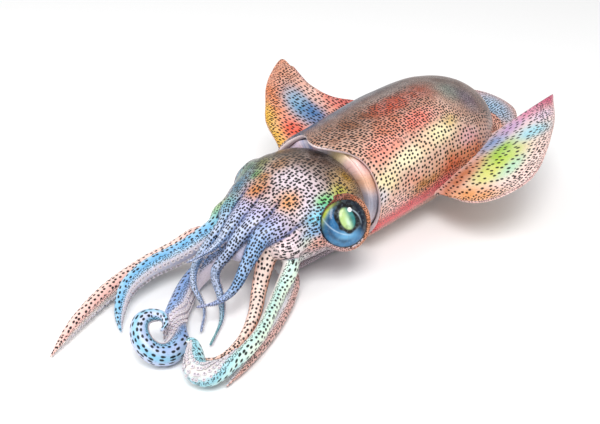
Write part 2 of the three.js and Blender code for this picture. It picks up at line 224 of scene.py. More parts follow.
# ---- shader expressions --------------------------------------------------
def plug(tree, socket, value):
    """Links a shader value to a socket, or sets the socket to a plain number or colour."""
    if isinstance(value, Flow):
        tree.links.new(value.socket, socket)
    else:
        socket.default_value = value


class Flow:
    """A shader socket that can be added, subtracted and multiplied like a number."""

    def __init__(self, tree, socket):
        self.tree, self.socket = tree, socket

    def node(self, kind, inputs=None, out=0, **settings):
        made = self.tree.nodes.new(kind)
        for key, value in settings.items():
            setattr(made, key, value)
        for key, value in (inputs or {}).items():
            plug(self.tree, made.inputs[key], value)
        return Flow(self.tree, made.outputs[out])

    def maths(self, operation, first, second):
        return self.node("ShaderNodeMath", {0: first, 1: second}, operation=operation)

    def __add__(self, other):
        return self.maths("ADD", self, other)

    def __sub__(self, other):
        return self.maths("SUBTRACT", self, other)

    def __rsub__(self, other):
        return self.maths("SUBTRACT", other, self)

    def __mul__(self, other):
        return self.maths("MULTIPLY", self, other)

    __radd__, __rmul__ = __add__, __mul__

    def most(self, other):
        """The larger of the two."""
        return self.maths("MAXIMUM", self, other)

    def between(self, low, high):
        """0 below low, 1 above high, and a soft step between them."""
        return self.node("ShaderNodeMapRange", {"Value": self, "From Min": low, "From Max": high},
                         interpolation_type="SMOOTHSTEP")


class Skin:
    """A material being written: marks read from the mesh, patterns, and the closing surface."""

    def __init__(self, name):
        self.material = bpy.data.materials.new(name)
        self.material.use_nodes = True
        self.tree = self.material.node_tree
        self.surface = next(n for n in self.tree.nodes if n.type == "BSDF_PRINCIPLED")
        self.node = Flow(self.tree, None).node

    def mark(self, name, out="Fac"):
        return self.node("ShaderNodeAttribute", out=out, attribute_name=name)

    def mix(self, factor, first, second, blend="MIX"):
        first, second = (c if isinstance(c, Flow) else (*c, 1) for c in (first, second))
        return self.node("ShaderNodeMix", {0: factor, 6: first, 7: second}, out=2, data_type="RGBA",
                         blend_type=blend)

    def noise(self, vector, scale, detail):
        return self.node("ShaderNodeTexNoise", {"Vector": vector, "Scale": scale, "Detail": detail})

    def dots(self, vector, spacing, longer, radius, unevenness):
        """Spots laid out on the skin, spacing apart across the body and longer along it.

        The radius is a share of the spacing, and unevenness goes from 0, a grid, to 1.
        """
        cell = (1 / spacing, 1 / (spacing * longer), 0)
        spread = self.node("ShaderNodeVectorMath", {0: vector, 1: cell}, operation="MULTIPLY")
        cells = {"Vector": spread, "Scale": 1.0, "Randomness": unevenness}
        distance = self.node("ShaderNodeTexVoronoi", cells, out="Distance", voronoi_dimensions="2D")
        return 1 - (distance - radius).between(-0.07, 0.07)

    def finish(self, colour, relief=None, **sockets):
        """Closes the material; relief is the height, its strength and its depth in millimetres."""
        if relief is not None:
            height, strength, depth = relief
            bumps = {"Height": height, "Strength": strength, "Distance": depth * MM}
            sockets["Normal"] = self.node("ShaderNodeBump", bumps, out="Normal")
        for key, value in {"Base Color": colour, **sockets}.items():
            plug(self.tree, self.surface.inputs[key], value)
        return self.material


def spotted_skin(name):
    """Wet skin: soft washes of colour under black spots, whose size follows the grain mark.

    The spots are great at a grain above 1.1, then large, then middling, and small below 0.38. There are
    none at a grain of 0.
    """
    skin = Skin(name)
    wash, flow, grain = skin.mark("wash", "Color"), skin.mark("flow", "Vector"), skin.mark("grain")
    colour = skin.mix(skin.noise(flow, 0.12, 3.0).between(0.35, 0.7) * 0.12, wash, linear("#fff3ee"))
    mottle = skin.noise(flow, 0.9, 2.0).between(0.5, 0.75)
    colour = skin.mix(mottle * 0.25, colour, linear("#6b4a44"), "MULTIPLY")
    size = skin.noise(flow, 0.4, 1.0) * 0.16
    grade = grain + (skin.noise(flow, 0.16, 2.0) - 0.5) * 0.25
    steps_up = (1.08, 1.16), (0.66, 0.74), (0.34, 0.42)
    to_great, to_large, to_middling = (grade.between(low, high) for low, high in steps_up)
    great = skin.dots(flow, 4.6, 1.25, size + 0.15, 0.6) * to_great
    large = skin.dots(flow, 2.7, 1.35, size + 0.21, 0.5) * to_large * (1 - to_great)
    middling = skin.dots(flow, 1.9, 1.15, size + 0.28, 0.55) * to_middling * (1 - to_large)
    small = skin.dots(flow, 1.15, 1.1, size + 0.27, 0.7) * grain.between(0.02, 0.12) * (1 - to_middling)
    spots = great.most(large).most(middling).most(small * 0.9)
    colour = skin.mix(spots * 0.97, colour, linear("#0a070a"))
    pores = skin.noise(skin.node("ShaderNodeTexCoord", out="Object"), 1500, 2.0)
    height = pores * 0.4 + skin.noise(flow, 0.5, 2.0) * 0.8 + spots * 0.25
    return skin.finish(colour, (height, 0.35, 0.35), **{
        "Roughness": pores.between(0.3, 0.8) * 0.16 + 0.3, "Specular IOR Level": 0.3, "IOR": 1.38,
        "Coat Weight": 0.22, "Coat Roughness": 0.12,
        "Subsurface Weight": 0.08, "Subsurface Radius": (1.0, 0.5, 0.35), "Subsurface Scale": 1.5 * MM})


def glassy_eye(name):
    """The wet eyeball: flecks and soft clouds in its colours, under a clear coat."""
    skin = Skin(name)
    wash, flow = skin.mark("wash", "Color"), skin.mark("flow", "Vector")
    flecks = skin.noise(flow, 0.5, 4.0)
    colour = skin.mix(flecks.between(0.45, 0.65) * 0.07, wash, linear("#bfe0f0"))
    clouds = skin.noise(flow, 0.25, 3.0).between(0.5, 0.7)
    colour = skin.mix(clouds * 0.35, colour, linear("#28405a"), "MULTIPLY")
    return skin.finish(colour, (skin.noise(flow, 0.8, 3.0), 0.05, 0.1), **{
        "Roughness": flecks * 0.1 + 0.25, "Specular IOR Level": 0.15,
        "Coat Weight": 0.7, "Coat Roughness": 0.03, "Coat IOR": 1.35})


SPOTTED_SKIN = spotted_skin("spotted_wet_skin")
WET_EYE = glassy_eye("wet_eye")


# ---- mantle --------------------------------------------------------------
mantle_low, mantle_high = (np.array(corner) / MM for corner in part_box("mantle"))
# the middle of the mantle's front edge, at the table's height, and a point inside the body
RIM = np.array([mantle_high[0] - MANTLE_LENGTH, (mantle_low[1] + mantle_high[1]) / 2, 0])
BODY_MIDDLE = RIM + np.array([70, 0, MIDDLE_HEIGHT])
RIM_RING = 20  # the outside of the mantle's solid ends at this ring, and the later ones line the recess
MANTLE_SIDES, MANTLE_ROWS, RECESS_ROWS = 176, 130, 26
MANTLE_PATCHES_AND_SHEEN = [  # degrees round from the top, positive to the right, then millimetres behind the rim
    (2, 24, 27, 62, "#8e6146", 0.97), (20, 80, 26, 34, "#64453a", 0.95), (85, 60, 26, 90, "#a97a68", 0.8),
    (36, 14, 18, 62, "#3f5474", 0.98), (42, 74, 15, 26, "#54606e", 0.8),
    (-10, 52, 14, 22, "#c9502c", 0.8), (-12, 82, 14, 15, "#b45a40", 0.75),
    (-36, 56, 10, 18, "#ee8272", 0.8), (-44, 18, 13, 18, "#f0a08e", 0.95),
    (-28, 32, 9, 14, "#cf8062", 0.85), (-70, 6, 10, 12, "#f2e6ba", 0.92),
    (-61, 32, 9, 20, "#f5edcc", 0.97), (-56, 66, 9, 18, "#f4eac2", 0.97),
    (-58, 50, 7, 8, "#f0c8ae", 0.65), (-50, 82, 6, 7, "#d8bc70", 0.6), (-8, 118, 50, 24, "#6b5850", 0.88),
    (-24, 103, 14, 11, "#7b9c94", 0.55), (-40, 114, 15, 10, "#6e6180", 0.6),
    # the first patch on the next line is a painted sheen: a pale streak of highlight along the top of the
    # mantle
    (10, 66, 7, 40, "#a89a94", 0.6), (-22, 66, 4, 22, "#b58a76", 0.7),
    (-52, 132, 24, 11, "#7a5c54", 0.85), (-74, 94, 11, 12, "#e2b0bc", 0.9),
    (-86, 72, 10, 16, "#d2704a", 0.92), (-88, 98, 12, 14, "#d97c34", 0.9),
    (-92, 42, 8, 18, "#bf8638", 0.92), (-82, 30, 6, 10, "#e2a892", 0.7),
    (-96, 12, 10, 16, "#f5cdc4", 0.95), (-80, 0, 8, 6, "#d9d2d8", 0.9),
    (-112, 4, 11, 26, "#ee5a62", 0.97), (-108, 34, 11, 24, "#ee5f6a", 0.97),
    (-102, 62, 9, 17, "#ef7580", 0.92),
]


def mantle_marks(grid, inside):
    """Colour, place on the skin and grain of each point of the mantle; inside is true in the recess."""
    centre_z = grid[:, :, 2].mean(1, keepdims=True)
    angle = np.degrees(np.arctan2(grid[:, :, 1] - RIM[1], grid[:, :, 2] - centre_z)).ravel()
    reach = (grid[:, :, 0] - RIM[0]).ravel()
    belly = ease(np.abs(angle), 122, 150) * (1 - ease(reach, 100, 150))
    colour = washes("#d8b2a0", MANTLE_PATCHES_AND_SHEEN, angle, reach)
    lay(colour, "#efdcd6", belly)
    colour[inside] = linear("#e6d5d6")
    steps = np.linalg.norm(np.diff(grid, axis=0), axis=2).mean(1)
    along = np.repeat(np.concatenate([[0], np.cumsum(steps)]), MANTLE_SIDES)
    width_and_height = (grid.max(1) - grid.min(1))[:, 1:]
    radius = np.repeat(np.hypot(*width_and_height.T) / 2 ** 1.5, MANTLE_SIDES)
    flow = np.stack([np.radians(angle) * np.maximum(radius, 14), along, 0 * along], 1)
    grain = 0.33 + 0.62 * bump(angle, -66, 30) + 0.1 * bump(angle, 0, 22) + 0.4 * bump(angle, 95, 25)
    grain -= 0.14 * bump(angle, 36, 20) + 0.34 * bump(angle, -110, 10)
    grain = grain * (1 - 0.75 * ease(reach, 72, 112) * ease(angle, -78, -45))
    return colour, flow, np.where(inside, 0.0, np.clip(grain, 0.05, 1) * (1 - 0.85 * belly))


def mantle_piece():
    tail, rings, recess_floor = node_rings("mantle", mantle_high)
    closed = np.concatenate([np.repeat(tail[None, None], rings.shape[1], 1), rings])
    rows = np.concatenate([np.linspace(0.25, RIM_RING, MANTLE_ROWS),
                           np.linspace(RIM_RING + 0.15, len(rings), RECESS_ROWS)])
    grid = read_rows(read_round(closed, MANTLE_SIDES), rows)
    points = grid.reshape(-1, 3)
    lumps = 0.5 * ripple(points, 26) + 0.2 * ripple(points, 9, 5)
    outward = unit(points - BODY_MIDDLE)
    points = points + outward * (lumps - 0.2)[:, None] * (points[:, 2] > 2)[:, None]
    points[:, 2] = np.maximum(points[:, 2], 0)
    marks = mantle_marks(grid, np.repeat(rows > RIM_RING + 0.3, MANTLE_SIDES))
    marks = [np.concatenate([mark, mark[:1], mark[-1:]]) for mark in marks]
    faces = grid_faces(len(rows), MANTLE_SIDES)
    tail_point, last = len(points), len(points) - MANTLE_SIDES
    faces += [(tail_point, (s + 1) % MANTLE_SIDES, s) for s in range(MANTLE_SIDES)]
    faces += [(tail_point + 1, last + s, last + (s + 1) % MANTLE_SIDES) for s in range(MANTLE_SIDES)]
    points = np.concatenate([points, tail[None], recess_floor[None]])
    make_piece("mantle_skin", points, faces, marks, SPOTTED_SKIN, ["mantle"])


# ---- limbs ---------------------------------------------------------------
LIMBS = ["arm_right_4", "arm_right_3", "arm_right_2", "arm_right_1", "arm_left_1", "arm_left_2", "arm_left_3",
         "tentacle_left", "arm_left_4", "tentacle_right"]
HEAD_BACK = RIM + np.array([-9.3, 0, 40.5])  # where the head's middle line starts
HEAD_LENGTH = 56
HEAD_ASPECT = 1.5  # width over height
# how a limb rolls from facing straight out of the crown: degrees, and the millimetres along it where each
# roll starts and ends
LIMB_ROLLS = {"arm_right_4": [(-98, 2, 45)], "arm_right_3": [(12, 2, 40)],
              "tentacle_left": [(35, 2, 30), (-150, 92, 135)],
              "tentacle_right": [(18, 2, 40), (165, 82, 122)]}
ROOT_SWELLS = {"arm_right_3": 0.1, "arm_right_2": 0.36, "arm_right_1": 0.3, "arm_left_1": 0.3,
               "arm_left_2": 0.36, "arm_left_3": 0.34, "tentacle_left": 0.5}  # shares of the half width
HEAD_GRAIN = 0.54  # of the spots on the head and on the limbs' roots
LIMB_STEP = 1.2
LIMB_SIDES = 22
TIP_LENGTH = 2.6  # of a limb's rounded end
LEAST_HALF_WIDTH = 1.25
SWELL_REACH = 26  # how far along a limb the swelling at its root fades
# from a limb's middle line to its back and to its sucker side, in half widths
BACK_DEPTH, SUCKER_DEPTH = 0.96, 0.78


class Limb:
    """One arm or tentacle, read from its CAD node: its middle line, half widths and where its back faces."""

    def __init__(self, name):
        self.name = name
        self.root, self.rings, tip = node_rings(name, HEAD_BACK)
        self.coarse = np.concatenate([self.rings.mean(1), tip[None]])

    def settle(self, crown, right, up):
        """Works out the limb's lines, once the middle of the crown and the way it stands are known."""
        offset = self.root - crown
        self.turn = math.atan2(offset @ right / HEAD_ASPECT, offset @ up)
        outward = offset @ right / HEAD_ASPECT ** 2 * right + (offset @ up) * up
        steps = np.concatenate([[0], np.cumsum(np.linalg.norm(np.diff(self.coarse, axis=0), axis=1))])
        self.length = steps[-1]
        self.reach = np.arange(0, self.length, LIMB_STEP)
        self.middle = read_rows(self.coarse, np.interp(self.reach, steps, np.arange(len(steps))))
        self.ahead = unit(np.gradient(self.middle, axis=0))
        unrolled = self.carried_along(outward)
        aside = np.cross(self.ahead, unrolled)
        roll = 0 * self.reach[:, None]
        for degrees, begin, end in LIMB_ROLLS.get(self.name, []):
            roll += np.radians(degrees) * ease(self.reach, begin, end)[:, None]
        self.back = unrolled * np.cos(roll) + aside * np.sin(roll)
        self.side = np.cross(self.ahead, self.back)
        self.half = self.half_widths(steps, aside)

    def carried_along(self, direction):
        """A direction at the root, carried along the middle line without twisting."""
        carried = []
        for ahead in self.ahead:
            direction = unit(direction - (direction @ ahead) * ahead)
            carried.append(direction)
        return np.array(carried)

    def half_widths(self, steps, aside):
        nearest = np.clip((steps[:-1] / LIMB_STEP).round().astype(int), 0, len(self.reach) - 1)
        spread = np.abs(np.einsum("rnk,rk->rn", self.rings - self.coarse[:-1, None], aside[nearest])).max(1)
        width = np.interp(self.reach, steps, np.append(spread, 0.8))
        soften = np.convolve(np.pad(width, 3, mode="edge"), np.ones(7) / 7, "valid")
        left = np.minimum((self.length - self.reach) / TIP_LENGTH, 1)
        half = np.maximum(soften, LEAST_HALF_WIDTH) * np.sqrt(np.clip(1 - (1 - left) ** 2, 0, 1))
        return half * (1 + ROOT_SWELLS.get(self.name, 0) * np.exp(-(self.reach / SWELL_REACH) ** 2))

    def surface(self, angles, rows=slice(None), swell=1.0):
        """Points on the skin: angle 0 is the back, and half a turn is the middle of the sucker side."""
        rise = np.cos(angles)
        depth = np.where(rise > 0, BACK_DEPTH, SUCKER_DEPTH)
        lift = (depth * np.sign(rise) * np.abs(rise) ** 0.85)[None, :, None] * self.back[rows, None, :]
        across = np.sin(angles)[None, :, None] * self.side[rows, None, :]
        return self.middle[rows, None, :] + self.half[rows, None, None] * swell * (across + lift)


# ---- fused skin ----------------------------------------------------------
def rough_solid(parts):
    """Several closed shapes fused into one skin by a voxel remesh: its points, faces and edges."""
    points, faces, start = [], [], 0
    for shape, its_faces in parts:
        points.append(shape)
        faces += [tuple(i + start for i in face) for face in its_faces]
        start += len(shape)
    mesh = bpy.data.meshes.new("rough")
    mesh.from_pydata((np.concatenate(points) * MM).tolist(), [], faces)
    rough = bpy.data.objects.new("rough", mesh)
    bpy.context.collection.objects.link(rough)
    remesh = rough.modifiers.new("fuse", "REMESH")
    remesh.mode, remesh.voxel_size = "VOXEL", SKIN_VOXEL * MM
    fused = rough.evaluated_get(bpy.context.evaluated_depsgraph_get()).to_mesh()
    count = len(fused.vertices)
    co = np.empty(count * 3, np.float32)
    fused.vertices.foreach_get("co", co)
    polygons = [tuple(face.vertices) for face in fused.polygons]
    edges = np.empty(len(fused.edges) * 2, np.int32)
    fused.edges.foreach_get("vertices", edges)
    rough.to_mesh_clear()
    bpy.data.objects.remove(rough)
    return co.reshape(-1, 3).astype(float) / MM, polygons, edges.reshape(-1, 2)


def relax(points, edges, amount, rounds):
    """Evens a mesh by moving each point towards the middle of its neighbours, by its own share."""
    first, second = edges[:, 0], edges[:, 1]
    count = len(points)
    ties = np.bincount(first, minlength=count) + np.bincount(second, minlength=count)
    for _ in range(rounds):
        total = np.stack([np.bincount(first, points[second, k], count)
                          + np.bincount(second, points[first, k], count) for k in range(3)], 1)
        points = points + (total / ties[:, None] - points) * amount[:, None]
    return points


def closed_loft(rings):
    return rings.reshape(-1, 3), tube_faces(*rings.shape[:2])


def node_shape(name, swell=1.0):
    points, faces = node_net(name)
    middle = (points.min(0) + points.max(0)) / 2
    return middle + (points - middle) * swell, [face for face in faces if len(set(face)) == 3]


# radius of the opening in the lids, and how far ahead of and above the eye's middle it lies
EYE_OPENINGS = {"eye_left": (15.6, (0.0, 0.0)), "eye_right": (10.5, (-2.5, -5.5))}


class Eye:
    """Where an eye is and which way it looks, read from its CAD node."""

    def __init__(self, name):
        points, _ = node_net(name)
        self.centre = (points.min(0) + points.max(0)) / 2
        _, axes = np.linalg.eigh(np.cov((points - self.centre).T))
        out = self.centre - np.array([self.centre[0], RIM[1], self.centre[2]])
        self.facing = axes[:, 0] * np.sign(axes[:, 0] @ out)
        heights = (points - self.centre) @ self.facing
        self.depth = heights.max()
        self.radius = np.linalg.norm(points - self.centre - heights[:, None] * self.facing, axis=1).max()
        self.ahead = unit(np.array([-1.0, 0, 0]) + self.facing[0] * self.facing)
        self.lift = np.cross(self.ahead, self.facing)
        self.lift *= np.sign(self.lift[2])
        self.opening, self.opening_at = EYE_OPENINGS[name]

    def local(self, points):
        """How far ahead, how far up and how far out of the head each point is, from the eye's middle."""
        away = points - self.centre
        return away @ self.ahead, away @ self.lift, away @ self.facing

    def place(self, ahead, lift, out):
        across = np.multiply.outer(ahead, self.ahead) + np.multiply.outer(lift, self.lift)
        return self.centre + across + np.multiply.outer(out, self.facing)


limbs = [Limb(name) for name in LIMBS]
roots = np.array([limb.root for limb in limbs])
_, _, plane = np.linalg.svd(roots - roots.mean(0))
forward = plane[2] * -np.sign(plane[2][0])  # square to the crown, away from the head
head_points, _ = node_net("head")
crown = head_points[np.abs((head_points - roots.mean(0)) @ forward + 0.3) < 0.4].mean(0)
right = unit(np.cross(forward, [0, 0, 1.0]))
up = np.cross(right, forward)
for limb in limbs:
    limb.settle(crown, right, up)
eyes = {name: Eye(name) for name in ("eye_left", "eye_right")}


def head_places(points):
    """Share of the head's length from its back, and angle round it from the top, for each point."""
    steps = np.linspace(0, 1.15, 60)
    bend = HEAD_BACK + np.array([-HEAD_LENGTH / 2, 0, 0])
    weights = np.stack([(1 - steps) ** 2, 2 * steps * (1 - steps), steps ** 2], 1)
    line = weights @ np.array([HEAD_BACK, bend, crown])
    ahead = unit(np.gradient(line, axis=0))
    rightward = unit(np.cross(ahead, [0, 0, 1.0]))
    upward = np.cross(rightward, ahead)
    apart = np.abs(np.einsum("pnk,nk->pn", points[:, None] - line[None], ahead))
    near = apart.argmin(1)
    away = points - line[near]
    across = row_dots(away, rightward[near]) / HEAD_ASPECT
    return steps[near], np.arctan2(across, row_dots(away, upward[near]))


def nearest_limbs(points, batch=20000):
    """For each point: its limb, its row on that limb, and how near the next limb is, 1 being as near."""
    share = np.empty((len(points), len(limbs)))
    rows = np.empty((len(points), len(limbs)), int)
    for k, limb in enumerate(limbs):
        for start in range(0, len(points), batch):
            part = slice(start, start + batch)
            gaps = np.linalg.norm(points[part, None] - limb.middle[None], axis=2)
            rows[part, k] = gaps.argmin(1)
            share[part, k] = gaps.min(1) / np.maximum(limb.half[rows[part, k]], 1.2)
    order = np.argsort(share, axis=1)
    index = np.arange(len(points))
    mine = order[:, 0]
    return mine, rows[index, mine], share[index, mine] / share[index, order[:, 1]]


# ---- head and limbs ------------------------------------------------------
# colours of each limb: back, edges, sucker side, tip and root, then the grain of its spots
LIMB_TINTS = {
    "arm_right_4": ("#f4d6cd", "#e9b9b0", "#f8f0e8", "#f0cfc8", "#e6bcb0", 0.86),
    "arm_right_3": ("#b4d8ea", "#6fb0dc", "#ebe8f2", "#8cc0de", "#9ccf5c", 0.84),
    "arm_right_2": ("#b6c6de", "#5f86b4", "#d8d6e8", "#a8b6d8", "#3aa2b8", 0.44),
    "arm_right_1": ("#b9c6de", "#5b82b2", "#d8d6e8", "#aab8da", "#bcbcdc", 0.44),
    "arm_left_1": ("#b6c4de", "#537aaa", "#d8d6e8", "#74bcb6", "#c6c0de", 0.44),
    "arm_left_2": ("#8eb0d4", "#4672a6", "#d8d6e8", "#b8badc", "#c0bcdc", 0.5),
    "arm_left_3": ("#f6e2d8", "#ec9460", "#f7eee8", "#efc8b8", "#e6d4dc", 0.9),
    "tentacle_left": ("#e0eedd", "#bfe0da", "#ece8e4", "#bce0ea", "#d4e6dc", 0.94),
    "arm_left_4": ("#ecc8c2", "#d2a69e", "#d6d8dc", "#e8b8aa", "#b8d2e2", 0.5),
    "tentacle_right": ("#b0bfde", "#7fa2d2", "#e9e2ee", "#e2dcee", "#8ca8d2", 0.84),
}
HEAD_PATCHES = [  # degrees round from the top, then millimetres from the head's back
    (0, 5, 62, 16, "#3d2b1e", 0.97), (0, 21, 50, 9, "#7d6452", 0.85), (-50, 4, 26, 12, "#6b4a26", 0.92),
    (30, 18, 20, 10, "#59472a", 0.92), (-12, 35, 20, 10, "#dcd0d8", 0.85),
    (12, 29, 11, 7, "#a37c56", 0.85), (-40, 43, 14, 8, "#d6cfe0", 0.75), (31, 31, 9, 8, "#7a7a2c", 0.95),
    (53, 34, 14, 11, "#2f7d3c", 0.97), (26, 40, 8, 5, "#6aa042", 0.85), (9, 52, 12, 9, "#c98238", 0.97),
    (14, 42, 8, 6, "#b98448", 0.9), (-27, 49, 12, 8, "#dba168", 0.9), (41, 50, 14, 15, "#077794", 0.98),
    (80, 30, 18, 26, "#128aa8", 0.92), (-44, 13, 15, 8, "#b08a2c", 0.92),
    (-50, 23, 10, 6, "#b9b53a", 0.92), (-49, 34, 8, 6, "#6cc674", 0.92), (-58, 43, 9, 9, "#55bcd4", 0.92),
    (-71, 49, 8, 12, "#74aed8", 0.85), (-92, 48, 14, 12, "#e09a80", 0.88),
    (-78, 60, 9, 7, "#c3dfc8", 0.7), (-86, 4, 26, 6, "#8c6c58", 0.7), (-120, 30, 26, 40, "#cfc2ca", 0.85),
    (180, 30, 50, 60, "#e0d6da", 0.9), (-5, 67, 60, 8, "#bdb2d6", 0.85), (44, 66, 16, 8, "#8fcf58", 0.85),
]
WEB_CONE = [(-8, 19), (6, 17.5), (15, 14), (24, 9), (30, 3)]  # how far past the crown, and half its height
WEB_SIDES = 28
ROOT_DEPTH = 9  # how far each limb is carried into the head


def fused_head():
    """Head, eyeballs, limbs and the web between their roots as one even skin, and how far each point was
    past the crown before the skin was evened."""
    parts = [node_shape("head"), node_shape("eye_left", 1.03), node_shape("eye_right", 1.03)]
    for limb in limbs:
        inner_end = limb.surface(round_steps(LIMB_SIDES), slice(0, 1), 1.02) - forward * ROOT_DEPTH
        parts.append(closed_loft(np.concatenate([inner_end, limb.surface(round_steps(LIMB_SIDES))])))
    spin = round_steps(WEB_SIDES)
    oval = np.outer(np.sin(spin) * HEAD_ASPECT, right) + np.outer(np.cos(spin), up)
    parts.append(closed_loft(np.array([crown + forward * f + oval * r for f, r in WEB_CONE])))
    points, faces, edges = rough_solid(parts)
    past = (points - crown) @ forward
    points = relax(points, edges, 0.5 * np.ones(len(points)), 6)
    points = relax(points, edges, 0.6 * bump(past, 2, 9) + 0.45 * (past < 0), 14)
    return points, faces, past


def press_lids(points):
    """Sinks the skin below the eyeball inside each eye's opening, and raises it round the edge."""
    for eye in eyes.values():
        ahead, lift, out = eye.local(points)
        radius = np.hypot(ahead, lift)
        past_edge = np.hypot(ahead - eye.opening_at[0], lift - eye.opening_at[1]) - eye.opening
        near = (out > -2) & (radius < 30)
        ball = eye.depth * np.sqrt(np.clip(1 - (radius / eye.radius) ** 2, 0, 1))
        sunk = ball - 3.5 * (1 - ease(past_edge, -2, 0)) + 0.4
        lid = np.where(past_edge < 0, sunk, np.maximum(ball + 0.8, out + bump(past_edge, 2.0, 2.6)))
        share = (1 - ease(radius, 17, 24)) * near
        points += np.outer((lid - out) * share, eye.facing)


def limb_marks(limb, points, row):
    """Colour, place on the skin and grain for points on a limb, each at its row of the middle line."""
    away = points - limb.middle[row]
    theta = np.arctan2(row_dots(away, limb.side[row]), row_dots(away, limb.back[row]))
    facing, reach, half = np.cos(theta), limb.reach[row], limb.half[row]
    share_along = reach / limb.length
    back, edge, under, tip, base, spots = LIMB_TINTS[limb.name]
    colour = plain(back, len(points))
    lay(colour, edge, 0.85 * bump(np.abs(theta), 1.5, 0.55))
    lay(colour, under, ease(-facing, 0.25, 0.75))
    lay(colour, tip, 0.8 * ease(share_along, 0.55, 1.0) * ease(facing, -0.4, 0.3))
    lay(colour, base, 0.85 * (1 - ease(reach, 3, 26)) * ease(facing, -0.7, 0))
    if limb.name.startswith("tentacle"):
        # painted shade: aqua laid along both edges of each club and near the middle of its back
        painted_club_shade = (bump(np.abs(theta), 1.9, 0.5) + bump(theta, 0.3, 0.5)) * ease(share_along, 0.6, 0.75)
        lay(colour, "#7cc4da", np.clip(0.75 * painted_club_shade, 0, 1))
    exact = reach + np.clip(row_dots(away, limb.ahead[row]), -8, 3)
    flow = np.stack([limb.turn * SKIN_RADIUS + theta * half, HEAD_LENGTH + exact, 0 * reach], 1)
    grain = HEAD_GRAIN + (spots - HEAD_GRAIN) * ease(reach, 4, 24)
    grain *= 0.55 + 0.45 * ease(half, 1.5, 4)
    return colour, flow, np.where(facing > -0.1, grain, 0.25) * ease(facing, -0.8, -0.25)


def head_and_limbs():
    points, faces, past = fused_head()
    press_lids(points)
    points[:, 2] = np.maximum(points[:, 2], 0)
    count = len(points)
    limb_colour, limb_flow, limb_grain = np.empty((count, 3)), np.empty((count, 3)), np.empty(count)
    mine, rows, crease = nearest_limbs(points)
    for k, limb in enumerate(limbs):
        pick = mine == k
        limb_colour[pick], limb_flow[pick], limb_grain[pick] = limb_marks(limb, points[pick], rows[pick])
    along, round_head = head_places(points)
    from_top = np.abs(np.degrees(round_head))
    beyond = (points - crown) @ forward
    on_limb = beyond > 0.5
    colour = washes("#cdbcc0", HEAD_PATCHES, np.degrees(round_head), along * HEAD_LENGTH)
    lay(colour, limb_colour, ease(beyond, -6, 16))
    # painted shade: dark blue laid in the creases between the limbs' roots, except on the underside
    painted_crease_shade = ease(crease, 0.74, 0.98) * ease(past, -12, 3) * (1 - ease(past, 26, 44))
    lay(colour, "#2c4c88", 0.8 * painted_crease_shade * ease(-from_top, -110, -70))
    head_flow = np.stack([round_head * SKIN_RADIUS, along * HEAD_LENGTH, 0 * along], 1)
    head_grain = HEAD_GRAIN - 0.3 * (1 - ease(along, 0.1, 0.36))
    head_grain *= 0.5 + 0.5 * ease(-from_top, -150, -110)
    flow = np.where(on_limb[:, None], limb_flow, head_flow)
    marks = colour, flow, np.where(on_limb, limb_grain, head_grain)
    make_piece("head_and_arms_skin", points, faces, marks, SPOTTED_SKIN, ["head"] + LIMBS, False)


# ---- eyes ----------------------------------------------------------------
def eye_colours(ahead, lift, pupil):
    """Colours of the eyeball at these places, with a painted reflection in the lens, painted highlights and
    two painted reflection arcs; pupil is 1 on the pupil's edge.
    """
    from_middle = np.hypot(ahead, lift)
    turn = np.arctan2(lift, ahead)
    colour = plain("#3876a2", len(ahead))
    lay(colour, "#7db4d6", 0.85 * bump(lift, -7.5, 4) * bump(ahead, 2, 8))
    lay(colour, "#0a1428", 0.97 * ease(-ahead * 0.9 + lift * 0.5, -1.0, 6.5))
    lay(colour, "#1c3c5c", 0.6 * bump(from_middle, 10.5, 1.2) * ease(ahead, -4, 4))
    # painted highlight: a yellow crescent just inside the lid, towards the front and top
    lay(colour, "#d2d648", 0.95 * bump(from_middle, 13.9, 1.5) * bump(turn, 0.9, 0.55))
    lay(colour, "#05070e", 1 - ease(pupil + 0.05 * np.sin(5 * turn), 0.94, 1.06))
    # painted reflection in the lens: teal, yellow-green towards the front, with a painted pale highlight
    # between them
    painted_lens_reflection = plain("#3f8a88", len(ahead))
    lay(painted_lens_reflection, "#b9cf8e", ease(ahead + 1.9, -3.4, 1.6))
    lay(painted_lens_reflection, "#d8f4dc", 0.75 * bump(ahead + 1.6, 0, 1.4) * bump(lift, 0.5, 3.6))
    lens = np.hypot((ahead + 1.9) / 5.2, (lift - 2.8) / 7.6)
    lay(colour, painted_lens_reflection, 0.97 * (1 - ease(lens, 0.8, 1.0)))
    # painted highlight: a small white glint on the eyeball
    painted_glint = np.hypot(ahead + 5.4, lift - 7.2)
    lay(colour, "#ffffff", 1 - ease(painted_glint, 1.1, 1.5))
    # painted reflections: two thin pale arcs across the eyeball
    painted_reflection_arcs = 0.5 * bump(np.hypot(ahead + 7, lift - 10), 18.5, 0.4) * ease(ahead, -4, 4)
    painted_reflection_arcs += 0.6 * bump(np.hypot(ahead - 1, lift + 1), 10.8, 0.4) * ease(-ahead, 3, 8) * ease(lift, -6, 2)
    lay(colour, "#d6e6f2", np.clip(painted_reflection_arcs, 0, 1))
    lay(colour, "#070a12", ease(from_middle, 13.6, 14.8))
    return colour


